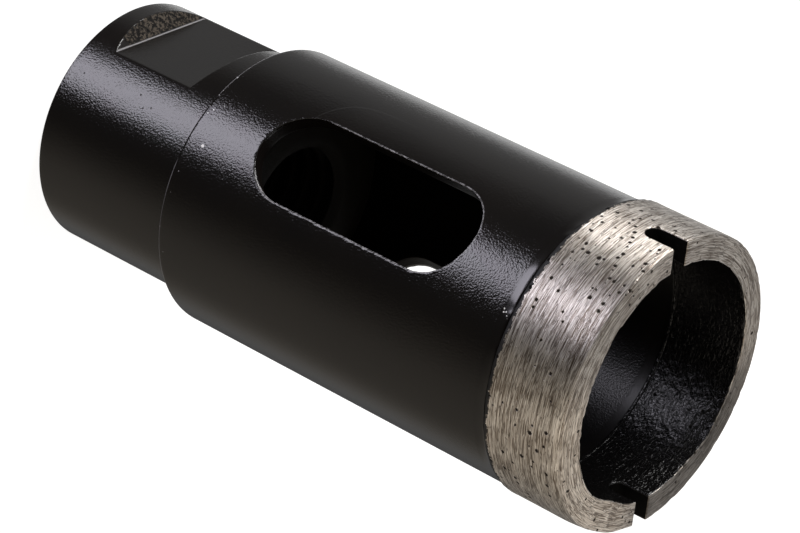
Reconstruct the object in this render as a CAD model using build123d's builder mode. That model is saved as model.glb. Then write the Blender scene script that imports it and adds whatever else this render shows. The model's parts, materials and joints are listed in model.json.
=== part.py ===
from build123d import *

import os
from math import cos, radians, sin, tan

# A diamond core bit for stone and tile: a turned hub with a spindle thread, a steel
# barrel brazed over the hub's spigot, and a sintered cutting rim on the barrel's front.
# It stands on the hub's rear face. +Z runs along the axis towards the rim, and +X
# points through the middle of one clearing window. Millimetres and degrees.

# Cutting rim
cutting_diameter = 35.0
rim_wall = 3.1
rim_height = 10.4
rim_edge_chamfer = 0.3
slot_width = 2.4
slot_depth = 4.5
slot_angle = -39.0
slot_offset = 0.45          # how far beside the axis the saw passed

# Barrel
side_clearance = 0.35       # how far the rim stands proud of the barrel
barrel_length = 48.9
barrel_wall = 2.0
barrel_edge_chamfer = 0.3
window_width = 11.1
window_length = 30.5
window_setback = 9.4        # from the barrel's rear end to the windows

# Hub
braze_gap = 0.05            # between the spigot and the barrel's bore, all round
shank_length = 21.6         # what shows behind the barrel
spigot_length = 6.0         # what lies inside the barrel
spigot_land = 3.0           # flat ring round the thread's inner mouth, outside its countersink
spigot_bevel_height = 1.6
hub_edge_chamfer = 0.3
thread_minor_diameter = 13.5    # 5/8 inch, 11 threads an inch, as drilled for the tap
countersink_width = 1.3
countersink_depth = 0.75
flats_width = 26.2          # across the two spanner flats
flats_angle = -39.0
flat_setback = 4.3          # from the hub's rear face to the flat
flat_length = 11.9
flat_rear_slope = 40.0      # how far each end wall of the flat leans outwards
flat_front_slope = 24.0
cut_margin = 1.0            # how far a cut runs past the metal it clears

# Sizes and levels that follow from them
barrel_diameter = cutting_diameter - 2 * side_clearance
barrel_bore_diameter = barrel_diameter - 2 * barrel_wall
hub_diameter = barrel_bore_diameter - 2 * braze_gap
rim_bore_diameter = cutting_diameter - 2 * rim_wall
hub_radius = hub_diameter / 2
thread_radius = thread_minor_diameter / 2
mouth_radius = thread_radius + countersink_width
land_radius = mouth_radius + spigot_land
hub_length = shank_length + spigot_length
rim_base = shank_length + barrel_length
rim_front = rim_base + rim_height
window_middle = shank_length + window_setback + window_length / 2


def radial_plane(angle):
    """The plane through the axis whose X points outwards at angle and whose Y is +Z."""
    outward = (cos(radians(angle)), sin(radians(angle)), 0)
    across = (sin(radians(angle)), -cos(radians(angle)), 0)
    return Plane(origin=(0, 0, 0), x_dir=outward, z_dir=across)


# Hub: one turned profile, then the two spanner flats with their leaning end walls
with BuildPart() as hub:
    with BuildSketch(Plane.XZ):
        with BuildLine():
            Polyline(
                (mouth_radius, 0),
                (hub_radius - hub_edge_chamfer, 0),
                (hub_radius, hub_edge_chamfer),
                (hub_radius, hub_length - spigot_bevel_height),
                (land_radius, hub_length),
                (mouth_radius, hub_length),
                (thread_radius, hub_length - countersink_depth),
                (thread_radius, countersink_depth),
                close=True,
            )
        make_face()
    revolve(axis=Axis.Z)
    flat_radius = flats_width / 2
    flat_end = flat_setback + flat_length
    clear_radius = hub_radius + cut_margin
    rear_lean = (clear_radius - flat_radius) * tan(radians(flat_rear_slope))
    front_lean = (clear_radius - flat_radius) * tan(radians(flat_front_slope))
    for side_angle in (flats_angle, flats_angle + 180):
        with BuildSketch(radial_plane(side_angle)):
            with BuildLine():
                Polyline(
                    (flat_radius, flat_setback),
                    (flat_radius, flat_end),
                    (clear_radius, flat_end + front_lean),
                    (clear_radius, flat_setback - rear_lean),
                    close=True,
                )
            make_face()
        extrude(amount=hub_radius, both=True, mode=Mode.SUBTRACT)
hub.part.label = "hub"

# Barrel: a plain tube with a clearing window cut right through both its sides
with BuildPart() as barrel:
    with BuildSketch(Plane.XY.offset(shank_length)):
        Circle(barrel_diameter / 2)
        Circle(barrel_bore_diameter / 2, mode=Mode.SUBTRACT)
    extrude(amount=barrel_length)
    rear_edges = barrel.edges().filter_by(GeomType.CIRCLE).group_by(Axis.Z)[0]
    chamfer(rear_edges.sort_by(SortBy.RADIUS)[-1], barrel_edge_chamfer)
    with BuildSketch(Plane.YZ):
        with Locations((0, window_middle)):
            SlotOverall(window_length, window_width, rotation=90)
    extrude(amount=barrel_diameter, both=True, mode=Mode.SUBTRACT)
barrel.part.label = "barrel"

# Cutting rim: a sintered ring butted on the barrel, with two slots that clear the swarf
with BuildPart() as rim:
    with BuildSketch(Plane.XY.offset(rim_base)):
        Circle(cutting_diameter / 2)
        Circle(rim_bore_diameter / 2, mode=Mode.SUBTRACT)
    extrude(amount=rim_height)
    chamfer(rim.edges().filter_by(GeomType.CIRCLE).group_by(Axis.Z)[-1], rim_edge_chamfer)
    with BuildSketch(radial_plane(slot_angle + 90)):
        with Locations((slot_offset, rim_front)):
            SlotOverall(2 * slot_depth, slot_width, rotation=90)
    extrude(amount=cutting_diameter, both=True, mode=Mode.SUBTRACT)
rim.part.label = "cutting_rim"

os.makedirs("parts", exist_ok=True)
export_step(hub.part, "parts/hub.step")
export_step(barrel.part, "parts/barrel.step")
export_step(rim.part, "parts/cutting_rim.step")
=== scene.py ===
import json
from math import cos, degrees, pi, radians, sin, tan

import bmesh
import bpy
import numpy as np
from mathutils import Matrix, Vector


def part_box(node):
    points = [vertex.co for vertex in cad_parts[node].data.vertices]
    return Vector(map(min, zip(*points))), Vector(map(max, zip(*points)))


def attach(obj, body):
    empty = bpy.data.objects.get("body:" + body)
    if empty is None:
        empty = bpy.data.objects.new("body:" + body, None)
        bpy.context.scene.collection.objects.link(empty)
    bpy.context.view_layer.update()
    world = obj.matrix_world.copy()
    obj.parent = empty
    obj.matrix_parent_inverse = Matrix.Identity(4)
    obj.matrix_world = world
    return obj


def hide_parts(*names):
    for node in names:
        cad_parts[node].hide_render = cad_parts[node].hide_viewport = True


# A diamond core bit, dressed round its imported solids. Points are worked out in
# millimetres in the part's frame and scaled to metres when a mesh is made.
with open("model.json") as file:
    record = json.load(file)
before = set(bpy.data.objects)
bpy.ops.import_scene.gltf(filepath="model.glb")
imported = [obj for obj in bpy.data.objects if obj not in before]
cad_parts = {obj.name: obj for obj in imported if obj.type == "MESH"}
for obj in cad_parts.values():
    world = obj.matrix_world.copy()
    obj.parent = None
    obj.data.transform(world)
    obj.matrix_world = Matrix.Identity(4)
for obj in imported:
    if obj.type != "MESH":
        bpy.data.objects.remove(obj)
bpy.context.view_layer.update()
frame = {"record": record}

MM = 0.001
BODY = "root"

# The photograph's view: a long lens above the mouth, rolled so that the axis falls
# to the right
IMAGE_WIDTH = 800
FOCAL_PIXELS = 3506
SENSOR_WIDTH = 36.0
VIEW_AZIMUTH = 16.18
VIEW_ELEVATION = 33.44
VIEW_ROLL = -116.58
VIEW_DISTANCE = 396.3
VIEW_AIM = (-0.29, 0.99, 43.85)

# Sizes that the frame gives
hub_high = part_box("hub")[1]
barrel_low, barrel_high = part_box("barrel")
rim_low, rim_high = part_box("cutting_rim")
HUB_RADIUS = hub_high.x / MM
HUB_END = hub_high.z / MM
BARREL_RADIUS = barrel_high.x / MM
BARREL_REAR = barrel_low.z / MM
RIM_RADIUS = rim_high.x / MM
RIM_BASE = rim_low.z / MM
RIM_FRONT = rim_high.z / MM
mounts = {mount["name"]: mount for mount in frame["record"]["mounts"]}
THREAD_RADIUS = mounts["spindle_thread"]["dims"]["r_mm"]
FLAT_RADIUS = Vector(mounts["spanner_flat_a"]["pos_m"][:2]).length / MM

# Sizes that the solids have too
SPIGOT_BEVEL = 1.6
COUNTERSINK_WIDTH = 1.3
COUNTERSINK_DEPTH = 0.75
LAND_WIDTH = 3.0
FLATS_ANGLE = -39.0
FLAT_END = 16.2
REAR_SLOPE = 40.0
FRONT_SLOPE = 24.0
BARREL_WALL = 2.0
WINDOW_WIDTH = 11.1
WINDOW_LENGTH = 30.5
WINDOW_SETBACK = 9.4
RIM_WALL = 3.1
SLOT_WIDTH = 2.4
SLOT_DEPTH = 4.5
SLOT_ANGLE = -39.0
SLOT_OFFSET = 0.45

# Form that the solids keep plainer or leave out
FLAT_START = 4.15               # a little behind the solid's
FLAT_BLEND = 0.1                # rounding where a spanner flat meets the turned outside
HUB_CHAMFER = 0.12
THREAD_PITCH = 25.4 / 11
THREAD_DEPTH = 1.19
THREAD_FLANK = 30.0             # half the thread's angle
BARREL_EDGE = 0.45              # rounding of the barrel's rear edge
WINDOW_EDGE = 0.08              # rounding of a window's sharper side
WINDOW_EDGE_WORN = 0.28         # rounding of its other side
WINDOW_INNER_EDGE = 0.15
WINDOW_NICKS = 0.05
FAR_WINDOW_TURN = -1.0
FAR_WINDOW_SHIFT = 0.6
PAINT_FILLET = 0.15             # how far the paint piles up against the rim
PAINT_FILLET_REACH = 0.5
RIM_BASE_EDGE = 0.4
RIM_EDGE = 0.2
RIM_LIP = 0.12
BORE_RUNOUT = 0.4               # how far the ring's bore lies off the axis
BORE_RUNOUT_ANGLE = -105.0
FRONT_TILT = 0.23               # how much higher the ring's front is on one side
FRONT_TILT_ANGLE = -21.0

# Marks that the meshes carry for their materials. The ring's marks are distances
# walked round its section instead, apart from its slots.
INSIDE_MARK = -1.0
WORN_MARK = 1.0
# marks the painted highlight along the spanner pocket's foot
FOOT_HIGHLIGHT_MARK = 2.0
SLOT_MARK = 60.0


# --- Number helpers ---

def hashed(x, y, z, seed):
    """A repeatable value from -1 to 1 for each whole-number corner."""
    n = x * 374761393 + y * 668265263 + z * 2147483647 + seed * 1274126177
    n = (n ^ (n >> 13)) * 1103515245 & 0x7FFFFFFF
    n = (n ^ (n >> 16)) * 1597334677 & 0x7FFFFFFF
    return (n ^ (n >> 15)) / 0x3FFFFFFF - 1.0


def value_noise(points, size, seed=0):
    """Smooth noise from -1 to 1 at points, with bumps about size apart."""
    scaled = np.asarray(points, float) / size
    corner = np.floor(scaled).astype(np.int64)
    t = scaled - corner
    t = t * t * (3 - 2 * t)
    total = np.zeros(scaled.shape[:-1])
    for dx in (0, 1):
        for dy in (0, 1):
            for dz in (0, 1):
                weight = (
                    (t[..., 0] if dx else 1 - t[..., 0])
                    * (t[..., 1] if dy else 1 - t[..., 1])
                    * (t[..., 2] if dz else 1 - t[..., 2])
                )
                x, y, z = (corner[..., i] + d for i, d in enumerate((dx, dy, dz)))
                total += weight * hashed(x, y, z, seed)
    return total


def fractal(points, size, octaves=3, seed=0):
    """Value noise summed over octaves, each half the size and strength of the last."""
    parts = [value_noise(points, size / 2**i, seed + i) / 2**i for i in range(octaves)]
    return sum(parts) / (2 - 2 ** (1 - octaves))


def smooth_min(a, b, blend):
    """The lower of a and b, with their crossing rounded over blend."""
    h = np.clip(0.5 + 0.5 * (b - a) / blend, 0, 1)
    return b * (1 - h) + a * h - blend * h * (1 - h)


def smooth_max(a, b, blend):
    """The higher of a and b, with their crossing rounded over blend."""
    return -smooth_min(-a, -b, blend)


def smooth_step(low, high, x):
    """Rises smoothly from 0 at low to 1 at high."""
    t = np.clip((x - low) / (high - low), 0, 1)
    return t * t * (3 - 2 * t)


def ridge(x, middle, width):
    """1 at the middle of a smooth ridge, and 0 well away from it."""
    return np.exp(-(((x - middle) / width) ** 2))


def graded(start, end, coarse, fine, zones=()):
    """Positions from start to end, coarse apart, and fine apart inside zones."""
    cuts = {start, end}
    for low, high in zones:
        cuts |= {min(max(low, start), end), min(max(high, start), end)}
    cuts = sorted(cuts)
    values = [start]
    for low, high in zip(cuts, cuts[1:]):
        middle = (low + high) / 2
        step = fine if any(a <= middle <= b for a, b in zones) else coarse
        count = max(1, round((high - low) / step))
        values += [low + (high - low) * (i + 1) / count for i in range(count)]
    return np.array(values)


# --- Mesh helpers ---

def add_object(name, data):
    """Puts a mesh, a lamp or a camera into the scene."""
    made = bpy.data.objects.new(name, data)
    bpy.context.scene.collection.objects.link(made)
    return made


class Shell:
    """Points, faces and per-point marks that become one closed mesh."""

    def __init__(self):
        self.points = []
        self.marks = []
        self.faces = []
        self.count = 0

    def add(self, points, mark=0.0):
        """Adds an array of points and returns their numbers in the same layout."""
        points = np.asarray(points, float)
        number = np.arange(self.count, self.count + points[..., 0].size)
        self.points.append(points.reshape(-1, 3))
        self.marks.append(np.broadcast_to(mark, points.shape[:-1]).reshape(-1))
        self.count += number.size
        return number.reshape(points.shape[:-1])

    def skin(self, ids):
        """Covers a grid of point numbers with four-sided faces."""
        quads = np.stack([ids[:-1, :-1], ids[:-1, 1:], ids[1:, 1:], ids[1:, :-1]], -1)
        self.faces.append(quads.reshape(-1, 4))

    def make(self, name, sharp_angle):
        mesh = bpy.data.meshes.new(name)
        faces = np.concatenate(self.faces)
        points = np.concatenate(self.points) * MM
        mesh.from_pydata(points.tolist(), [], faces.tolist())
        marks = mesh.attributes.new("mark", "FLOAT", "POINT")
        marks.data.foreach_set("value", np.concatenate(self.marks).astype(np.float32))
        outward = bmesh.new()
        outward.from_mesh(mesh)
        bmesh.ops.recalc_face_normals(outward, faces=outward.faces)
        outward.to_mesh(mesh)
        outward.free()
        mesh.shade_smooth()
        mesh.set_sharp_from_angle(angle=radians(sharp_angle))
        return add_object(name, mesh)


def border(grid):
    """The entries round a grid's edge, from its first corner along the first row."""
    return np.concatenate([grid[0, :-1], grid[:-1, -1], grid[-1, :0:-1], grid[:0:-1, 0]])


def wrapped(ids):
    """Repeats a grid's first column after its last, to close it round."""
    return np.concatenate([ids, ids[:, :1]], 1)


def polar(radius, angle, height):
    """Points from radius, angle in degrees and height, all of one shape."""
    radius, angle, height = np.broadcast_arrays(radius, np.radians(angle), height)
    return np.stack([radius * np.cos(angle), radius * np.sin(angle), height], -1)


def dress(piece, node, material):
    """Dresses a CAD node with a piece of the same form."""
    piece.data.materials.append(material)
    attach(piece, BODY)
    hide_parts(node)


# --- Hub ---

def flat_limit(height, angle, flat_angle):
    """How far from the axis a spanner flat and its end walls let the hub reach."""
    rear = (FLAT_START - height) / tan(radians(REAR_SLOPE))
    front = (height - FLAT_END) / tan(radians(FRONT_SLOPE))
    rise = smooth_max(smooth_max(rear, front, 0.1), 0.0, 0.12)
    facing = np.cos(np.radians(angle - flat_angle))
    least = 0.5
    limit = np.where(facing > least, (FLAT_RADIUS + rise) / np.maximum(facing, least), np.inf)
    return limit, rise


def thread_radius(height, angle):
    """The tapped bore's wall: a right-handed thread, flat at its deepest for an eighth
    of its pitch."""
    phase = (height / THREAD_PITCH - angle / 360) % 1.0
    away = np.abs(phase - 0.5) * THREAD_PITCH
    depth = THREAD_DEPTH - (away - THREAD_PITCH / 16) / tan(radians(THREAD_FLANK))
    return THREAD_RADIUS + np.clip(depth, 0, THREAD_DEPTH)


def make_hub(material):
    crease = degrees(np.arccos(FLAT_RADIUS / HUB_RADIUS))
    creases = [FLATS_ANGLE + turn + side for turn in (0, 180, 360) for side in (-crease, crease)]
    fine_reach = 2.5
    fine_turns = [(turn - fine_reach, turn + fine_reach) for turn in creases]
    columns = graded(-180, 180, 1.5, 0.5, fine_turns)[:-1]
    mouth = THREAD_RADIUS + COUNTERSINK_WIDTH
    land = mouth + LAND_WIDTH

    # The turned outside, with the two spanner flats cut into it
    fine_levels = [(FLAT_START - 1.9, FLAT_START + 0.4), (FLAT_END - 0.4, FLAT_END + 1.2)]
    levels = graded(HUB_CHAMFER, HUB_END - SPIGOT_BEVEL, 0.8, 0.1, fine_levels)
    height, angle = np.meshgrid(levels, columns, indexing="ij")
    radius = np.full(height.shape, HUB_RADIUS)
    mark = np.zeros(height.shape)
    for flat_angle in (FLATS_ANGLE, FLATS_ANGLE + 180, FLATS_ANGLE - 180):
        limit, rise = flat_limit(height, angle, flat_angle)
        cut = smooth_min(radius, np.minimum(limit, HUB_RADIUS + 5), FLAT_BLEND)
        inside = limit < HUB_RADIUS - 0.02
        on_wall = WORN_MARK * smooth_step(0.1, 0.25, rise) * inside * (height < FLAT_START)
        # marks the painted highlight along the pocket's foot
        foot_highlight = FOOT_HIGHLIGHT_MARK * ridge(height, FLAT_START, 0.15) * inside
        radius = np.where(limit < HUB_RADIUS + 2, cut, radius)
        mark = np.maximum(np.maximum(mark, on_wall), foot_highlight * (foot_highlight > WORN_MARK))
    lumps = 0.06 * fractal(polar(radius, angle, height), 0.7, 3, 5)
    radius = radius + (mark == WORN_MARK) * lumps

    shell = Shell()
    rows = [shell.add(polar(radius, angle, height), mark)]

    def ring(radii, heights, mark):
        grid = polar(np.asarray(radii)[:, None], columns[None], np.asarray(heights)[:, None])
        rows.append(shell.add(grid, mark))

    # The spigot's bevel, and the land round the thread's inner mouth
    steps = np.linspace(0, 1, 7)[1:]
    bevel = HUB_END - SPIGOT_BEVEL * (1 - steps)
    ring(HUB_RADIUS + (land - HUB_RADIUS) * steps, bevel, INSIDE_MARK)
    steps = np.linspace(0, 1, 5)[1:-1]
    ring(land + (mouth - land) * steps, np.full(steps.size, HUB_END), INSIDE_MARK)

    # The thread, between its two countersinks
    rows_a_turn = 12
    bore = np.linspace(HUB_END, 0, int(HUB_END / THREAD_PITCH * rows_a_turn) + 1)
    height, angle = np.meshgrid(bore, columns, indexing="ij")
    inset = np.minimum(height, HUB_END - height)
    sink = mouth - inset * COUNTERSINK_WIDTH / COUNTERSINK_DEPTH
    bore_radius = smooth_max(thread_radius(height, angle), sink, 0.06)
    rows.append(shell.add(polar(bore_radius, angle, height), INSIDE_MARK))

    # The rear face and its rounded edge
    steps = np.linspace(0, 1, 12)[1:]
    face_edge = HUB_RADIUS - HUB_CHAMFER
    ring(mouth + (face_edge - mouth) * steps, np.zeros(steps.size), 0.0)
    turn = np.linspace(0, pi / 2, 7)[1:-1]
    ring(face_edge + HUB_CHAMFER * np.sin(turn), HUB_CHAMFER * (1 - np.cos(turn)), 0.0)
    shell.skin(wrapped(np.concatenate(rows + [rows[0][:1]])))
    dress(shell.make("hub_turned", 55), "hub", material)


# --- Barrel ---

def window_outline(count_end, count_side):
    """The window's outline as points across and along from its middle, and the way out
    of it at each. It starts at one corner of the patch that frames the window, so each
    end of the patch takes half of that end's arc and each side takes the rest."""
    radius = WINDOW_WIDTH / 2
    straight = WINDOW_LENGTH / 2 - radius
    end_turn = np.radians(-135 + 90 * np.arange(count_end) / count_end)
    way = (straight + radius * pi / 4) * (2 * np.arange(count_side) / count_side - 1)
    side_turn = np.sign(way) * np.maximum(np.abs(way) - straight, 0) / radius
    turn = np.concatenate([end_turn, side_turn])
    middle = np.concatenate([np.full(count_end, -straight), np.clip(way, -straight, straight)])
    out = np.stack([np.cos(turn), np.sin(turn)])
    spot = radius * out + np.stack([np.zeros(turn.size), middle])
    return np.concatenate([spot, -spot], 1), np.concatenate([out, -out], 1)


def make_barrel(material):
    outer_radius = BARREL_RADIUS
    inner_radius = BARREL_RADIUS - BARREL_WALL
    window_middle = BARREL_REAR + WINDOW_SETBACK + WINDOW_LENGTH / 2

    # Each window sits in a patch of the tube's grid, whose squares it replaces
    half_patch = 31.0           # half the angle that a patch takes up
    patch_margin = 3.4          # how far it reaches past the window's ends
    count_end = 56
    count_side = 120
    patch_low = window_middle - WINDOW_LENGTH / 2 - patch_margin
    patch_high = window_middle + WINDOW_LENGTH / 2 + patch_margin
    between = np.linspace(half_patch, 180 - half_patch, 60)
    over = np.linspace(-half_patch, half_patch, count_end + 1)
    columns = np.concatenate([over, between[1:-1], over + 180, between[1:-1] + 180])
    side = np.linspace(patch_low, patch_high, count_side + 1)

    shell = Shell()
    straight_start = BARREL_REAR + BARREL_EDGE
    below = graded(straight_start, patch_low, 0.9, 0.3, [(0, BARREL_REAR + 1)])[:-1]
    above = graded(patch_high, RIM_BASE, 0.5, 0.12, [(RIM_BASE - 1.8, RIM_BASE)])[1:]
    levels = np.concatenate([below, side, above])
    first_side = len(below)
    last_side = first_side + count_side

    # The paint runs up to the rim in a lumpy fillet
    skin = polar(outer_radius, columns[None], levels[:, None])
    lumpy = PAINT_FILLET * (1 + 0.5 * value_noise(skin, 0.9, 31))
    fillet = lumpy * np.exp((levels[:, None] - RIM_BASE) / PAINT_FILLET_REACH)
    outer = shell.add(polar(outer_radius + fillet, columns[None], levels[:, None]))
    inner = shell.add(polar(inner_radius, columns[None], levels[:, None]), INSIDE_MARK)

    # The two ends
    turn = np.linspace(0, pi / 2, 6)[:-1, None]
    rear_round = shell.add(polar(
        outer_radius - BARREL_EDGE * (1 - np.sin(turn)), columns[None],
        BARREL_REAR + BARREL_EDGE * (1 - np.cos(turn))))
    face = np.linspace(inner_radius, outer_radius - BARREL_EDGE, 7)[:-1, None]
    rear_face = shell.add(polar(face, columns[None], BARREL_REAR))
    face = np.linspace(inner_radius, outer_radius, 4)[1:-1, None]
    front_face = shell.add(polar(face, columns[None], RIM_BASE))
    shell.skin(wrapped(np.concatenate([inner[:1], rear_face, rear_round, outer[:1]])))
    shell.skin(wrapped(np.concatenate([inner[-1:], front_face, outer[-1:]])))

    # The tube's two skins, apart from the patches
    starts = (0, len(over) + len(between) - 2)
    for grid in (outer, inner):
        closed = wrapped(grid)
        shell.skin(closed[:first_side + 1])
        shell.skin(closed[last_side:])
        for start, after in ((starts[0], starts[1]), (starts[1], closed.shape[1] - 1)):
            shell.skin(closed[first_side:last_side + 1, start + count_end:after + 1])

    # Rows down the window's wall: how far the edge has turned, how far the row lies
    # outside the window's outline at the bore, and how deep it lies
    edge_rows = [(turn, 0.0, 0.0) for turn in np.linspace(0.25, pi / 2, 6)]
    wall_rows = [(pi / 2, 0.0, depth) for depth in np.linspace(0.5, BARREL_WALL - 0.45, 5)]
    inner_rows = [
        (pi / 2, WINDOW_INNER_EDGE * (1 - cos(turn)), BARREL_WALL - WINDOW_INNER_EDGE * (1 - sin(turn)))
        for turn in np.linspace(0, 1.2, 4)]

    outline, outward = window_outline(count_end, count_side)
    frame_level, frame_angle = map(border, np.meshgrid(side, over, indexing="ij"))
    for start, facing, turned, shifted in zip(
            starts, (1, -1), (0, FAR_WINDOW_TURN), (0, FAR_WINDOW_SHIFT)):
        middle_turn = 90 - 90 * facing
        rings = []
        for grid, radius, grows, mark in (
            (outer, outer_radius, (3.0, 2.2, 1.6, 1.2, 0.85, 0.6, 0.42, 0.3), 0.0),
            (inner, inner_radius, (3.0, 2.0, 1.2, 0.7, 0.35), INSIDE_MARK),
        ):
            # Loops that lead from the patch's frame in to the window's outline
            loops = [border(grid[first_side:last_side + 1, start:start + count_end + 1])]
            for grow in grows:
                across, along = outline + grow * outward
                share = smooth_step(0.3, 3.6, grow)
                angle = np.degrees(np.arcsin(across / radius)) + turned
                angle = angle * (1 - share) + frame_angle * share
                level = (window_middle + shifted + along) * (1 - share) + frame_level * share
                loops.append(shell.add(polar(radius, angle + middle_turn, level), mark))
            rings.append(loops)
        wall = []
        worn = smooth_step(1.0, 4.5, outline[0] * facing)
        rounding = WINDOW_EDGE + (WINDOW_EDGE_WORN - WINDOW_EDGE) * worn
        for turn, out, depth in edge_rows + wall_rows + inner_rows:
            on_edge = depth == 0
            sink = rounding * (1 - cos(turn)) if on_edge else depth
            across, along = outline + (rounding * (1 - sin(turn)) + out) * outward
            at = np.stack([across, along, np.full(across.shape, facing)], -1)
            nick = WINDOW_NICKS * value_noise(at, 0.5, 3)
            radius = outer_radius - sink - nick * on_edge
            angle = np.degrees(np.arcsin(across / radius)) + turned + middle_turn
            points = polar(radius, angle, window_middle + shifted + along)
            wall.append(shell.add(points, WORN_MARK if on_edge else INSIDE_MARK))
        shell.skin(wrapped(np.stack(rings[0] + wall + rings[1][::-1])))
    dress(shell.make("barrel_tube", 50), "barrel", material)


# --- Cutting rim ---

# Where wear has left the ring's front edges off the round: the angle and its spread in
# degrees, and how far out the edge lies
MOUTH_WEAR = ((112, 13, -0.6), (40, 28, -0.25), (-176, 9, 0.4))
OUTSIDE_WEAR = ((-75, 50, 0.2), (172, 25, 0.08))
CORNER_WEAR = ((131, 8, -0.25), (113, 10, -0.24))
# Where and by how much the outer front edge is rounded off, in the same way
FRONT_ROUNDING = ((62, 42, 0.22),)
# How far the ring's surface strays from its clean form
LUMP_HEIGHT = 0.012
FINE_LUMP_HEIGHT = 0.006
CHIP_DEPTH = 0.09
NOTCH_DEPTH = 0.16
HEM_HEIGHT = 0.05
CRUMB_HEIGHT = 0.05
CRUMB_SINK = 0.03
JOINT_LIP = 0.02
JOINT_GROOVE = 0.08
SLOT_ROUGHNESS = 0.035
# How far the surface dips beside a slot, and at its very edge
SLOT_DIP = 0.03
SLOT_EDGE_DIP = 0.08

CORNER_POINTS = 13


def rim_profile():
    """A table for walking round the ring's section: distance walked, how far out from
    the bore and how high, and the outward direction, then the distances at which its
    four rounded corners begin and end. It goes from the base up the outside, over the
    front, down the bore and across the base."""
    corners = (
        (RIM_WALL, RIM_BASE, -1, 1, RIM_BASE_EDGE, -90),
        (RIM_WALL, RIM_FRONT, -1, -1, RIM_EDGE, 0),
        (0.0, RIM_FRONT, 1, -1, RIM_LIP, 90),
        (0.0, RIM_BASE, 1, 1, RIM_BASE_EDGE, 180),
    )
    spots = []
    facings = []
    for out, height, inward, down, radius, start in corners:
        turn = np.radians(np.linspace(start, start + 90, CORNER_POINTS))
        facing = np.stack([np.cos(turn), np.sin(turn)], -1)
        spots.append(np.array([out + inward * radius, height + down * radius]) + radius * facing)
        facings.append(facing)
    spots = np.concatenate(spots + [spots[0][:1]])
    facings = np.concatenate(facings + [facings[0][:1]])
    walked = np.concatenate([[0], np.cumsum(np.linalg.norm(np.diff(spots, axis=0), axis=1))])
    return walked, spots, facings, walked[:-1:CORNER_POINTS], walked[CORNER_POINTS - 1::CORNER_POINTS]


def swell(angle, bumps):
    """The sum of smooth bumps at the angles given."""
    total = 0.0
    for middle, spread_angle, amount in bumps:
        away = (angle - middle + 180) % 360 - 180
        total = total + amount * ridge(away, 0.0, spread_angle)
    return total


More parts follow.
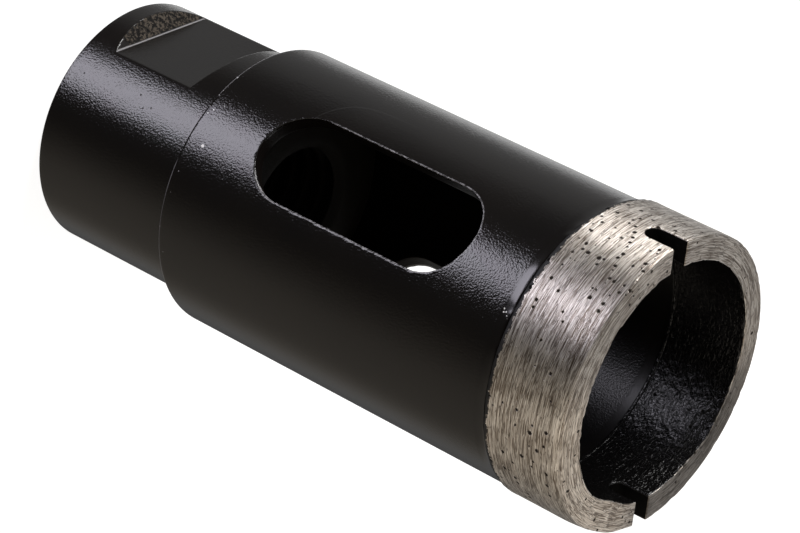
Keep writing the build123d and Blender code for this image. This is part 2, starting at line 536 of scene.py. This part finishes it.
def make_rim(material):
    walked, spot, facing, begins, ends = rim_profile()
    outside_end, front_end, bore_end = begins[1:]
    base_round, front_start, bore_start = ends[:3]
    runout = BORE_RUNOUT * polar(1.0, BORE_RUNOUT_ANGLE, 0.0)[:2]
    bore_radius = RIM_RADIUS - RIM_WALL

    def section(way):
        """How far out and how high the section lies at a distance walked, and its
        outward direction."""
        way = way % walked[-1]
        return [np.interp(way, walked, column) for column in (*spot.T, *facing.T)]

    def on_ring(angle, way, sink=0.0):
        """A point on the worn ring, from its angle in degrees and the distance walked
        round the section."""
        angle, way, sink = np.broadcast_arrays(angle, way, sink)
        out, height, tilt, rise = section(way)
        share = out / RIM_WALL
        at_front = smooth_step(3.0, 0.3, RIM_FRONT - height)
        mouth = swell(angle, MOUTH_WEAR) * smooth_step(0.75, 0.0, share) * at_front
        outside = swell(angle, OUTSIDE_WEAR) + swell(angle, CORNER_WEAR) * at_front
        outside = outside * smooth_step(0.25, 1.0, share)
        reach = bore_radius + RIM_WALL * share + mouth + outside
        turned = np.radians(angle)
        flat = np.stack([np.cos(turned), np.sin(turned)], -1)
        spot_xy = flat * reach[..., None] + runout * (1 - share[..., None])
        tilt_way = np.cos(turned - radians(FRONT_TILT_ANGLE)) * reach / RIM_RADIUS
        climb = np.clip((height - RIM_BASE) / (RIM_FRONT - RIM_BASE), 0, 1)
        height = height + FRONT_TILT * climb * tilt_way
        clean = np.concatenate([spot_xy, height[..., None]], -1)
        outward = np.concatenate([flat * tilt[..., None], rise[..., None]], -1)
        return clean + outward * (wear(clean, way, angle) - sink)[..., None]

    def wear(at, way, angle):
        """How far the surface stands above the clean form."""
        rounded = swell(angle, FRONT_ROUNDING) * ridge(way, (outside_end + front_start) / 2, 0.75)
        in_bore = smooth_step(bore_start + 0.2, bore_start + 0.9, way)
        in_bore = in_bore * smooth_step(bore_end - 1.0, bore_end - 1.6, way)
        joint = JOINT_LIP * ridge(way, bore_end - 0.6, 0.12)
        joint = joint - JOINT_GROOVE * ridge(way, bore_end - 0.3, 0.14)
        outer_lip = ridge(way, outside_end + 0.15, 0.4)
        inner_lip = ridge(way, front_end + 0.1, 0.3)
        hem = ridge(way, base_round, 0.5)
        lumps = LUMP_HEIGHT * value_noise(at, 2.4, 11) + FINE_LUMP_HEIGHT * value_noise(at, 0.6, 12)
        chips = -CHIP_DEPTH * np.clip(value_noise(at, 0.9, 13) - 0.1, 0, 1) * outer_lip
        notches = -NOTCH_DEPTH * np.clip(value_noise(at, 0.55, 14) - 0.05, 0, 1) * inner_lip
        ragged = HEM_HEIGHT * value_noise(at, 0.5, 15) * hem
        crumbs = in_bore * (CRUMB_HEIGHT * fractal(at, 0.75, 3, 16) - CRUMB_SINK)
        return lumps + chips + notches + ragged + crumbs + joint - rounded

    def outer_way(height):
        """The distance walked to a height on the outside."""
        return base_round + height - RIM_BASE - RIM_BASE_EDGE

    def bore_way(height):
        """The distance walked to a height in the bore."""
        return bore_start + RIM_FRONT - RIM_LIP - height

    # Each slot sits in a patch of the ring's grid, whose squares it replaces
    half_patch = 11.5           # half the angle that a patch takes up
    patch_margin = 1.0          # how far it reaches past the slot's closed end
    count_arc = 30
    count_side = 26
    count_corner = 5
    count_front = 13

    def side_ways(start, end):
        """Distances from the outside over the front and down to the bore."""
        return np.concatenate([
            np.linspace(start, outside_end, count_side + 1),
            np.linspace(outside_end, front_start, count_corner + 1)[1:],
            np.linspace(front_start, front_end, count_front + 1)[1:],
            np.linspace(front_end, bore_start, count_corner + 1)[1:],
            np.linspace(bore_start, end, count_side + 1)[1:],
        ])

    low = RIM_FRONT - SLOT_DEPTH - patch_margin
    over = side_ways(outer_way(low), bore_way(low))
    count_over = len(over) - 1
    down_bore = graded(bore_way(low), bore_end, 0.3, 0.06, [(bore_end - 1.0, bore_end)])[1:]
    across_base = np.linspace(bore_end, walked[-1], 14)[1:]
    base_corner = np.linspace(0, base_round, 6)[1:]
    up_outside = np.linspace(base_round, outer_way(low), 22)[1:-1]
    near = np.linspace(-half_patch, half_patch, count_arc + 1)
    block = np.linspace(half_patch, 180 - half_patch, 220)[1:-1]
    columns = np.concatenate([near, block, near + 180, block + 180]) + SLOT_ANGLE
    ways = np.concatenate([over, down_bore, across_base, base_corner, up_outside])[:, None]
    shell = Shell()
    grid = shell.add(on_ring(columns[None], ways), np.broadcast_to(ways, (len(ways), len(columns))))
    closed = wrapped(grid)
    shell.skin(np.concatenate([closed[count_over:], closed[:1]]))
    half_turn = len(near) + len(block)
    half_width = SLOT_WIDTH / 2
    low_centre = RIM_FRONT - SLOT_DEPTH + half_width
    frame_way, frame_turn = map(border, np.meshgrid(over, near, indexing="ij"))

    # A slot's outline on the ring: along its closed end on the outside, over one side to
    # the bore, along the closed end there and back over the other side
    turn = np.radians(np.linspace(-90, 90, count_arc + 1))
    arc_across = half_width * np.sin(turn)
    arc_height = low_centre - half_width * np.cos(turn)
    walls = side_ways(outer_way(low_centre), bore_way(low_centre))
    outline_across = np.concatenate([
        arc_across[:-1], np.full(count_over, half_width),
        -arc_across[:-1], np.full(count_over, -half_width)])
    outline_way = np.concatenate([
        outer_way(arc_height)[:-1], walls[:-1], bore_way(arc_height)[:-1], walls[:0:-1]])
    outline_share = section(outline_way)[0] / RIM_WALL

    # Its walls, in rows that run from the outside to the bore. The first row lies along
    # the front on one side and the last along it on the other.
    past_corner = (count_corner + 1) // 2
    up_side = np.arange(1, count_side + past_corner + 1)
    lead = count_arc + count_side + past_corner
    tail = count_arc + count_over - count_side - past_corner
    bore_side = 2 * count_arc + count_over
    outer_run = np.concatenate([np.arange(lead, -1, -1), len(outline_way) - up_side])
    inner_run = np.concatenate([np.arange(tail, bore_side + 1), bore_side + up_side])
    wall_share = np.linspace(0, 1, tail - lead + 1)[1:-1, None]

    for start in (0, half_turn):
        shell.skin(closed[:count_over + 1, start + count_arc:start + half_turn + 1])

        # The saw cut straight through, beside the axis and so beside the bore's middle
        slot_angle = SLOT_ANGLE + (180 if start else 0)
        aside = -SLOT_OFFSET if start else SLOT_OFFSET
        across = polar(1.0, slot_angle + 90, 0.0)[:2]
        sideways = outline_across + aside - (runout @ across) * (1 - outline_share)
        outline_turn = np.degrees(np.arcsin(sideways / (bore_radius + RIM_WALL * outline_share)))

        # Loops that lead from the patch's frame in to the slot's outline
        loops = [border(grid[:count_over + 1, start:start + count_arc + 1])]
        last_share = 0.98
        for share in (0.15, 0.3, 0.44, 0.56, 0.67, 0.76, 0.84, 0.9, 0.95, last_share):
            turned = outline_turn * share + frame_turn * (1 - share)
            way = outline_way * share + frame_way * (1 - share)
            dip = SLOT_DIP if share == last_share else 0.0
            loops.append(shell.add(on_ring(slot_angle + turned, way, dip), way))
        edge = on_ring(slot_angle + outline_turn, outline_way, SLOT_EDGE_DIP)
        edge_ids = shell.add(edge, outline_way)
        shell.skin(wrapped(np.stack(loops + [edge_ids])))

        rows = [edge_ids[lead:tail + 1]]
        for outer, inner in zip(outer_run[1:-1], inner_run[1:-1]):
            between = edge[outer] * (1 - wall_share) + edge[inner] * wall_share
            rough = np.stack([value_noise(between, 0.6, 20 + axis) for axis in range(3)], -1)
            wall = shell.add(between + SLOT_ROUGHNESS * rough, SLOT_MARK)
            rows.append(np.concatenate([[edge_ids[outer]], wall, [edge_ids[inner]]]))
        rows.append(edge_ids[outer_run[-1]:inner_run[-1] - 1:-1])
        shell.skin(np.stack(rows))
    dress(shell.make("rim_cast", 60), "cutting_rim", material)


# --- Materials ---

def empty_tree(owner):
    """The node tree of a material or world, with nothing in it."""
    owner.use_nodes = True
    owner.node_tree.nodes.clear()
    return owner.node_tree


def fill(tree, node, values):
    """Sets or links a node's sockets, by name or number."""
    for key, value in values.items():
        socket = node.inputs[key]
        if isinstance(value, bpy.types.NodeSocket):
            tree.links.new(value, socket)
        else:
            socket.default_value = value


def put(tree, kind, values=(), **settings):
    """Adds a shader node with its values and settings."""
    made = tree.nodes.new("ShaderNode" + kind)
    for name, value in settings.items():
        setattr(made, name, value)
    fill(tree, made, dict(values))
    return made


def calc(tree, operation, *values):
    return put(tree, "Math", dict(enumerate(values)), operation=operation).outputs[0]


def times(tree, first, *others):
    for other in others:
        first = calc(tree, "MULTIPLY", first, other)
    return first


def highest(tree, first, *others):
    for other in others:
        first = calc(tree, "MAXIMUM", first, other)
    return first


def mix(tree, share, first, second):
    """Goes from the first colour to the second as share goes from 0 to 1."""
    return put(tree, "Mix", {0: share, 6: first, 7: second}, data_type="RGBA").outputs[2]


def spread(tree, value, low, high, to_low=0.0, to_high=1.0):
    """Smoothly turns low..high into to_low..to_high."""
    return put(tree, "MapRange", {0: value, 1: low, 2: high, 3: to_low, 4: to_high},
               interpolation_type="SMOOTHSTEP").outputs[0]


def noise(tree, place, size, detail=2.0, roughness=0.5):
    """Noise from 0 to 1, with features about size across."""
    return put(tree, "TexNoise", {"Vector": place, "Scale": 1 / size, "Detail": detail,
                                  "Roughness": roughness}).outputs[0]


def distance(tree, place, spot):
    return put(tree, "VectorMath", {0: place, 1: spot}, operation="DISTANCE").outputs["Value"]


def colour(red, green, blue):
    return (red, green, blue, 1.0)


PAINT_ROUGHNESS = 0.16
FRESH_PAINT = colour(0.0035, 0.003, 0.003)
SOOTY_PAINT = colour(0.007, 0.0055, 0.0045)
THREAD_PAINT = colour(0.012, 0.010, 0.008)
SCALE_DARK = colour(0.003, 0.0025, 0.002)
SCALE_BROWN = colour(0.085, 0.07, 0.055)
# painted highlight along the spanner pocket's foot
FOOT_HIGHLIGHT = colour(0.2, 0.195, 0.2)
# worn bare steel, also the painted highlight on the barrel's rear edge
WORN_STEEL_AND_HIGHLIGHT = colour(0.2, 0.195, 0.205)
# dust, and the painted glints by the rim seam
DUST_AND_GLINT = colour(0.85, 0.85, 0.85)
GROUND_DARK = colour(0.17, 0.135, 0.105)
GROUND_LIGHT = colour(0.66, 0.61, 0.555)
LIGHT_SCRATCH = colour(0.85, 0.81, 0.76)
DARK_SCRATCH = colour(0.07, 0.052, 0.04)
# painted shade in the pits
PIT_SHADE = colour(0.022, 0.017, 0.014)
RIM_PAINT = colour(0.003, 0.0027, 0.0027)
# Painted light and shade on the ground metal's front: how much of its colour the front keeps,
# and where painted light makes it keep most and painted shade least, in degrees
FRONT_PAINTED_SHADE = colour(0.78, 0.76, 0.74)
FRONT_PAINTED_LIGHT = colour(1.12, 1.05, 0.96)
FRONT_DEEPEST_PAINTED_SHADE = colour(0.33, 0.32, 0.31)
PAINTED_LIGHT_FRONT_ANGLE = 84.0
PAINTED_SHADE_FRONT_ANGLE = 174.0

# Small marks in the paint, by angle, height and size; those on the barrel by the rim seam are painted
# glints
HUB_PINHOLES = (
    (-1.8, 11.2, 0.16), (3.7, 11.2, 0.16), (8.5, 12.5, 0.16), (6.9, 13.5, 0.16), (6.1, 2.4, 0.16),
)
BARREL_SPECKS_AND_GLINTS = (
    (12.3, 24.2, 0.26), (16.4, 69.3, 0.13), (17.2, 69.7, 0.13), (17.6, 69.4, 0.13), (18.4, 70.0, 0.13),
    (19.2, 70.2, 0.13), (-8.5, 21.9, 0.10), (-11.0, 21.9, 0.07), (-15.2, 21.8, 0.09), (-18.9, 21.9, 0.11),
    (-19.3, 21.9, 0.09), (-22.9, 21.8, 0.08), (-2.8, 21.9, 0.07), (0.0, 22.3, 0.08), (-2.1, 22.7, 0.09),
    (-5.2, 23.6, 0.07),
)
# Heights in mm of what stands out of the paint and the metal
PEEL_HEIGHT = 0.003
GRAIN_HEIGHT = 0.031
SCALE_HEIGHT = 0.15
SAG_HEIGHT = 0.018
PIT_DEPTH = 0.10
GRIND_HEIGHT = 0.03
CROSS_GRIND_HEIGHT = 0.025
CRUST_HEIGHT = 0.13
# The corner of the spanner pocket that paint still covers, by angle and height
PAINTED_CORNER = (-11.0, 3.4)
# Where the painted highlight along the barrel's rear edge is left out: the middle, in mm round
# the outside, and how far from it the highlight starts and reaches full strength
REAR_HIGHLIGHT_GAP_MIDDLE = 1.9
REAR_HIGHLIGHT_GAP_REACH = (3.9, 5.3)
# The sag in the paint ends in a step, SAG_SIDE mm round the outside at its top. At the
# height SAG_LEVEL it lies SAG_SWING further round, and SAG_FALL says how soon that fades.
SAG_SIDE = -10.8
SAG_LEVEL = 34.8
SAG_SWING = 4.2
SAG_FALL = 1.8
# The middle of the patch where most of the grit has torn out, by angle and height, and
# its reach
TORN_PATCH = (-20.0, 76.5)
TORN_REACH = 10.0


def new_material(name):
    """A material with its node tree, its shader, the place in mm and the mesh's mark."""
    material = bpy.data.materials.new(name)
    tree = empty_tree(material)
    shader = put(tree, "BsdfPrincipled")
    put(tree, "OutputMaterial", {0: shader.outputs[0]})
    at = put(tree, "TexCoord").outputs["Object"]
    place = put(tree, "VectorMath", {0: at, 3: 1000.0}, operation="SCALE").outputs[0]
    mark = put(tree, "Attribute", attribute_name="mark").outputs["Fac"]
    return material, tree, shader, place, mark


def bump(tree, *layers):
    """Stacks bumps given as (height socket, height in mm)."""
    normal = None
    for height, size in layers:
        values = {"Strength": 1.0, "Distance": size * MM, "Height": height}
        if normal:
            values["Normal"] = normal
        normal = put(tree, "Bump", values).outputs[0]
    return normal


def spots(tree, place, radius, places):
    """1 in small round spots on a cylinder, given as (angle, height, size), and 0
    elsewhere."""
    total = 0.0
    for angle, height, size in places:
        away = distance(tree, place, polar(radius, angle, height))
        total = calc(tree, "MAXIMUM", total, spread(tree, away, size, size * 0.6))
    return total


def paint_material(name, hub):
    """Satin black paint over worked steel."""
    material, tree, shader, place, mark = new_material(name)
    round_x, round_y, height = put(tree, "SeparateXYZ", {0: place}).outputs
    grain = noise(tree, place, 0.21, detail=1)
    soot = noise(tree, place, 9.0, detail=3)
    base = mix(tree, soot, FRESH_PAINT, SOOTY_PAINT)
    layers = [(noise(tree, place, 1.2), PEEL_HEIGHT)]
    inside = spread(tree, mark, INSIDE_MARK * 0.5, INSIDE_MARK * 0.9)
    worn = spread(tree, mark, WORN_MARK * 0.3, WORN_MARK * 0.8)
    if hub:
        layers.append((grain, GRAIN_HEIGHT))

        # The spanner pocket's rear wall: bare and scaly, with a painted highlight along its foot
        ragged = calc(tree, "MULTIPLY_ADD", noise(tree, place, 0.8, 3, 0.7), 3.0, -1.5)
        corner = calc(tree, "ADD", distance(tree, place, polar(HUB_RADIUS, *PAINTED_CORNER)), ragged)
        wall = times(tree, worn, spread(tree, mark, 1.6, 1.2))
        raw = times(tree, wall, spread(tree, corner, 1.6, 2.4))
        foot_highlight = spread(tree, mark, 1.1, 1.7)
        scale = noise(tree, place, 0.45, 4, 0.8)
        base = mix(tree, raw, base, mix(tree, spread(tree, scale, 0.48, 0.58), SCALE_DARK, SCALE_BROWN))
        base = mix(tree, foot_highlight, base, FOOT_HIGHLIGHT)
        layers.append((times(tree, scale, raw), SCALE_HEIGHT))

        base = mix(tree, inside, base, THREAD_PAINT)
        pinholes = spots(tree, place, HUB_RADIUS, HUB_PINHOLES)
        rough = calc(tree, "MULTIPLY_ADD", highest(tree, inside, wall, foot_highlight), 0.45, PAINT_ROUGHNESS)
        gloss = calc(tree, "MULTIPLY_ADD", highest(tree, wall, inside, pinholes), -0.38, 0.5)
    else:
        # The fillet against the rim is smoother than the rest
        grainy = spread(tree, height, RIM_BASE - 1.0, RIM_BASE - 1.7)
        layers.append((times(tree, grain, grainy), GRAIN_HEIGHT))

        # Bare metal along the windows' edges, apart from one side of their rear ends
        broken = spread(tree, noise(tree, place, 0.4, 3, 0.7), 0.42, 0.58, 0.1, 1.0)
        off_end = highest(tree, spread(tree, height, 35.5, 37.5), spread(tree, round_y, 3.0, 4.2))
        edge = times(tree, broken, off_end, worn)

        # A painted highlight along the rear edge, on both sides of where it is left out
        across = times(tree, calc(tree, "ARCTAN2", round_y, round_x), BARREL_RADIUS)
        off_middle = calc(tree, "ABSOLUTE", calc(tree, "SUBTRACT", across, REAR_HIGHLIGHT_GAP_MIDDLE))
        rear_edge_highlight = times(
            tree, spread(tree, height, BARREL_REAR + 0.36, BARREL_REAR + 0.28),
            spread(tree, off_middle, *REAR_HIGHLIGHT_GAP_REACH), spread(tree, soot, 0.3, 0.6, 0.45, 0.9))

        # Specks of dust: scattered near the rear edge, and others placed one by one, with painted glints
        # among those by the rim seam
        cells = put(tree, "TexVoronoi", {"Vector": place, "Scale": 1 / 0.6, "Randomness": 1.0})
        chosen = put(tree, "SeparateColor", {0: cells.outputs["Color"]}).outputs[0]
        speck_size = spread(tree, chosen, 0.7, 1.0, 0.0, 0.15)
        specks = calc(tree, "LESS_THAN", cells.outputs["Distance"], speck_size)
        specks = times(tree, specks, spread(tree, height, BARREL_REAR + 1.6, BARREL_REAR + 0.9))
        dust_and_glints = spots(tree, place, BARREL_RADIUS, BARREL_SPECKS_AND_GLINTS)

        pale = highest(tree, edge, rear_edge_highlight, specks, dust_and_glints)
        base = mix(tree, pale, base, mix(tree, dust_and_glints, WORN_STEEL_AND_HIGHLIGHT, DUST_AND_GLINT))
        rough = spread(tree, highest(tree, inside, pale), 0.0, 1.0, PAINT_ROUGHNESS, 0.32)
        deep = spread(tree, height, RIM_BASE - 20, RIM_BASE - 30, 0.15, 0.45)
        gloss = calc(tree, "SUBTRACT", 0.5, times(tree, inside, deep))

        # A sag in the paint beside the near window, ending in a low step
        below = times(tree, calc(tree, "SUBTRACT", height, SAG_LEVEL), -1 / SAG_FALL)
        border = calc(tree, "MULTIPLY_ADD", calc(tree, "EXPONENT", below), SAG_SWING, SAG_SIDE)
        sag = spread(tree, calc(tree, "SUBTRACT", across, border), -0.12, 0.12)
        sag = times(tree, sag, spread(tree, height, 47.0, 41.0), spread(tree, across, -2.0, -5.0))
        layers.append((sag, SAG_HEIGHT))
    fill(tree, shader, {"Base Color": base, "Roughness": rough, "Specular IOR Level": gloss,
                        "Normal": bump(tree, *layers)})
    return material


def metal_material():
    """Diamond grit in sintered metal, ground round its outside and front, with paint left
    at its seam, in its slots and down its bore."""
    material, tree, shader, place, mark = new_material("sintered_metal")
    round_x, round_y, _ = put(tree, "SeparateXYZ", {0: place}).outputs
    angle = calc(tree, "ARCTAN2", round_y, round_x)
    round_way = times(tree, angle, RIM_RADIUS)
    front_way, bore_way = rim_profile()[-1][1:3]

    def streaks(length, width, slant, detail, seed):
        """Noise drawn out round the ring, its lines leaning by the slant."""
        lean = calc(tree, "MULTIPLY_ADD", round_way, slant, mark)
        grain_at = put(tree, "CombineXYZ", {
            0: times(tree, round_way, 1 / length),
            1: times(tree, lean, 1 / width), 2: seed}).outputs[0]
        return noise(tree, grain_at, 1.0, detail, 0.55)

    def scratches(length, width, slant, seed, thin):
        """Thin lines along the middle level of drawn-out noise."""
        away = calc(tree, "ABSOLUTE", calc(tree, "SUBTRACT", streaks(length, width, slant, 1, seed), 0.5))
        return spread(tree, away, thin, 0.0)

    # The ground metal: streaks, broad patches, and lighter and darker scratches
    grind = streaks(length=9.0, width=0.11, slant=0.02, detail=2, seed=0.0)
    cross_grind = streaks(length=4.5, width=0.085, slant=-0.05, detail=1, seed=7.3)
    light_lines = highest(
        tree, scratches(length=7.0, width=0.36, slant=0.035, seed=11.0, thin=0.035),
        scratches(length=5.0, width=0.3, slant=-0.03, seed=23.0, thin=0.03))
    dark_lines = highest(
        tree, scratches(length=6.0, width=0.34, slant=0.05, seed=31.0, thin=0.03),
        scratches(length=4.0, width=0.36, slant=-0.02, seed=43.0, thin=0.03))
    patches = noise(tree, place, 3.0, 3, 0.6)
    tone = calc(tree, "ADD", times(tree, grind, 0.55), times(tree, cross_grind, 0.45))
    tone = calc(tree, "MULTIPLY_ADD", calc(tree, "SUBTRACT", patches, 0.5), 0.25, tone)
    ground = mix(tree, spread(tree, tone, 0.40, 0.59), GROUND_DARK, GROUND_LIGHT)
    ground = mix(tree, times(tree, light_lines, 0.8), ground, LIGHT_SCRATCH)
    ground = mix(tree, times(tree, dark_lines, 0.75), ground, DARK_SCRATCH)

    # The front, with painted light on one side and painted shade on another
    on_front = times(tree, spread(tree, mark, front_way - 0.4, front_way + 0.2),
                     spread(tree, mark, bore_way, bore_way - 0.3))
    # painted light on one side of the front and painted shade on another
    painted_light_side, painted_shade_side = (
        spread(tree, calc(tree, "COSINE", calc(tree, "SUBTRACT", angle, radians(middle))), 0.5, 0.88)
        for middle in (PAINTED_LIGHT_FRONT_ANGLE, PAINTED_SHADE_FRONT_ANGLE))
    painted_front_light = mix(tree, painted_light_side, mix(tree, painted_shade_side, FRONT_PAINTED_SHADE, FRONT_DEEPEST_PAINTED_SHADE), FRONT_PAINTED_LIGHT)
    painted_front_light = mix(tree, on_front, colour(1, 1, 1), painted_front_light)
    ground = put(tree, "VectorMath", {0: ground, 1: painted_front_light}, operation="MULTIPLY").outputs[0]

    # Pits where grit has torn out, darkened with painted shade
    unrolled = put(tree, "CombineXYZ", {0: round_way, 1: mark, 2: 0.0}).outputs[0]
    cells = put(tree, "TexVoronoi", {"Vector": unrolled, "Scale": 1 / 0.9, "Randomness": 1.0},
                voronoi_dimensions="2D")
    chosen = put(tree, "SeparateColor", {0: cells.outputs["Color"]}).outputs[0]
    ragged = noise(tree, place, 0.75, 4, 0.75)
    torn = distance(tree, place, polar(RIM_RADIUS, *TORN_PATCH))
    pit_chance = spread(tree, torn, TORN_REACH * 0.4, TORN_REACH, 0.3, 0.84)
    pit_size = spread(tree, chosen, pit_chance, 1.0, 0.0, 0.29)
    pit_limit = times(tree, pit_size, times(tree, ragged, 2.0))
    pits = spread(tree, calc(tree, "SUBTRACT", pit_limit, cells.outputs["Distance"]), -0.02, 0.1)
    ground = mix(tree, pits, ground, PIT_SHADE)

    # Paint, up to a ragged line at the seam and down the bore, where it has a crust
    seam = calc(tree, "LESS_THAN", mark, calc(tree, "MULTIPLY_ADD", ragged, 1.5, 0.05))
    lined = calc(tree, "GREATER_THAN", mark, calc(tree, "MULTIPLY_ADD", ragged, 0.4, bore_way - 0.25))
    in_slot = calc(tree, "GREATER_THAN", mark, SLOT_MARK - 10)
    painted = highest(tree, seam, lined)
    drawn_out = put(tree, "CombineXYZ", {0: times(tree, round_way, 0.55), 1: mark, 2: 0.0}).outputs[0]
    crust = times(tree, noise(tree, drawn_out, 0.38, 2, 0.6), lined)
    base = mix(tree, painted, ground, RIM_PAINT)

    bare = calc(tree, "SUBTRACT", 1.0, highest(tree, painted, pits))
    bare_rough = calc(tree, "MULTIPLY_ADD", cross_grind, 0.25, 0.33)
    other_rough = calc(tree, "MULTIPLY_ADD", calc(tree, "SUBTRACT", lined, in_slot), -0.35, 0.57)
    rough = spread(tree, bare, 0.0, 1.0, other_rough, bare_rough)
    around = put(tree, "Tangent", direction_type="RADIAL", axis="Z").outputs[0]
    normal = bump(tree, (calc(tree, "SUBTRACT", 1.0, pits), PIT_DEPTH), (grind, GRIND_HEIGHT),
                  (cross_grind, CROSS_GRIND_HEIGHT), (crust, CRUST_HEIGHT))
    fill(tree, shader, {
        "Base Color": base, "Metallic": bare, "Roughness": rough, "Normal": normal, "Tangent": around,
        "Anisotropic": times(tree, bare, 0.68), "Anisotropic Rotation": 0.25,
        "Specular IOR Level": calc(tree, "MULTIPLY_ADD", highest(tree, in_slot, pits), -0.45, 0.5)})
    return material


# --- Stage, lights and camera ---

def aim_rotation(azimuth, elevation, roll):
    """Turns a camera or lamp to look back along a direction given in degrees."""
    back = Vector((cos(radians(elevation)) * cos(radians(azimuth)),
                   cos(radians(elevation)) * sin(radians(azimuth)),
                   sin(radians(elevation))))
    level = back.to_track_quat("Z", "Y").to_matrix()
    return back, level @ Matrix.Rotation(radians(-roll), 3, "Z")


def make_camera():
    back, turn = aim_rotation(VIEW_AZIMUTH, VIEW_ELEVATION, VIEW_ROLL)
    lens = bpy.data.cameras.new("camera")
    lens.sensor_width = SENSOR_WIDTH
    lens.lens = SENSOR_WIDTH * FOCAL_PIXELS / IMAGE_WIDTH
    lens.clip_start = 0.01
    camera = add_object("camera", lens)
    camera.location = (Vector(VIEW_AIM) + back * VIEW_DISTANCE) * MM
    camera.rotation_euler = turn.to_euler()
    bpy.context.scene.camera = camera


def make_lamp(name, azimuth, elevation, size, roll, level, tint):
    """A round or oval soft lamp, seen from the object's middle in a direction given in
    degrees and as bright as level times white."""
    back, turn = aim_rotation(azimuth, elevation, roll)
    lamp = bpy.data.lights.new(name, "AREA")
    lamp.shape = "ELLIPSE"
    lamp.size, lamp.size_y = size[0] * MM, size[1] * MM
    lamp.color = tint
    lamp.energy = level * pi * (pi / 4 * lamp.size * lamp.size_y)
    placed = add_object(name, lamp)
    placed.location = (Vector((0, 0, LAMP_AIM)) + back * LAMP_DISTANCE) * MM
    placed.rotation_euler = turn.to_euler()
    placed.visible_camera = False


def studio_band(tree, share, stops):
    """The brightness of one band of the studio, from its stops of (azimuth, level)."""
    ramp = put(tree, "ValToRGB", {0: share})
    points = ramp.color_ramp.elements
    for _ in stops[1:]:
        points.new(0.5)
    for point, (angle, level) in zip(points, stops + ((180, stops[0][1]),)):
        point.position = (angle + 180) / 360
        point.color = colour(level, level, level)
    return ramp.outputs[0]


def make_world():
    """White behind the object, and a studio round it that is dark on the camera's side
    and bright beyond."""
    world = bpy.data.worlds.new("studio")
    bpy.context.scene.world = world
    tree = empty_tree(world)
    toward = put(tree, "TexCoord").outputs["Generated"]
    axes = put(tree, "SeparateXYZ", {0: toward}).outputs
    azimuth = calc(tree, "ARCTAN2", axes[1], axes[0])
    share = calc(tree, "MULTIPLY_ADD", azimuth, 0.5 / pi, 0.5)
    high = spread(tree, axes[2], *BAND_SPLIT)
    level = mix(tree, high, studio_band(tree, share, STUDIO_BELOW), studio_band(tree, share, STUDIO_ABOVE))
    from_warm = calc(tree, "COSINE", calc(tree, "SUBTRACT", azimuth, radians(WARM_AZIMUTH)))
    tinted = put(tree, "VectorMath", {0: level, 1: WARM}, operation="MULTIPLY").outputs[0]
    level = mix(tree, spread(tree, from_warm, 0.3, 0.8), level, tinted)
    dimmed = spread(tree, axes[2], *DIM_BELOW, DIM_LEVEL, 1.0)
    seen = put(tree, "LightPath").outputs["Is Camera Ray"]
    around = put(tree, "Background", {0: level, 1: dimmed})
    behind = put(tree, "Background", {0: colour(1, 1, 1), 1: 1.0})
    chosen = put(tree, "MixShader", {0: seen, 1: around.outputs[0], 2: behind.outputs[0]})
    put(tree, "OutputWorld", {0: chosen.outputs[0]})


def make_floor():
    """A pale floor under the object, left out of its reflections."""
    mesh = bpy.data.meshes.new("floor")
    reach = 3.0                 # metres
    corners = [(-reach, -reach, 0), (reach, -reach, 0), (reach, reach, 0), (-reach, reach, 0)]
    mesh.from_pydata(corners, [], [(0, 1, 2, 3)])
    floor = add_object("floor", mesh)
    material = bpy.data.materials.new("floor")
    tree = empty_tree(material)
    matt = put(tree, "BsdfDiffuse", {0: colour(0.5, 0.5, 0.5)})
    glow = put(tree, "Emission", {0: colour(1, 1, 1), 1: 0.85})
    both = put(tree, "AddShader", {0: matt.outputs[0], 1: glow.outputs[0]})
    put(tree, "OutputMaterial", {0: both.outputs[0]})
    mesh.materials.append(material)
    floor.visible_glossy = False
    floor.visible_diffuse = False
    floor.visible_shadow = False


# The studio's brightness round the object, by azimuth in degrees: in the band that its
# sides reflect to the camera, and in the rest above
STUDIO_BELOW = (
    (-180, 0.08), (-170, 0.16), (-158, 0.66), (-133, 0.86), (-126, 0.37), (-118, 0.27), (-85, 0.28),
    (-60, 0.07), (30, 0.05), (48, 0.06), (65, 0.18), (85, 0.32), (110, 0.29), (125, 0.23),
    (152, 0.30), (163, 0.22),
)
STUDIO_ABOVE = (
    (-180, 0.85), (-150, 0.55), (-120, 0.25), (-95, 0.45), (-60, 0.25), (20, 0.1), (35, 0.25), (55, 0.5),
    (70, 1.0), (85, 1.0), (110, 0.85), (130, 0.3), (165, 0.3),
)
# Where one band gives way to the other, and where the studio dims under the object, as
# sines of the elevation
BAND_SPLIT = (-0.35, -0.1)
DIM_BELOW = (-0.92, -0.72)
DIM_LEVEL = 0.1
# The tint on the side where the light comes off warmer things
WARM = (1.08, 0.98, 0.84)
WARM_AZIMUTH = 95
LAMP_DISTANCE = 600.0
LAMP_AIM = 45.0                 # the height that lamps face

make_camera()
make_world()
make_floor()
make_lamp("key", azimuth=-6.0, elevation=-38.6, size=(284, 298), roll=-19, level=6.8,
          tint=(0.91, 0.885, 1.0))
make_lamp("overhead", azimuth=-66, elevation=15, size=(300, 460), roll=0, level=12.5,
          tint=(1.0, 0.985, 0.975))
make_hub(paint_material("hub_paint", hub=True))
make_barrel(paint_material("barrel_paint", hub=False))
make_rim(metal_material())
bpy.context.scene.view_settings.view_transform = "Standard"
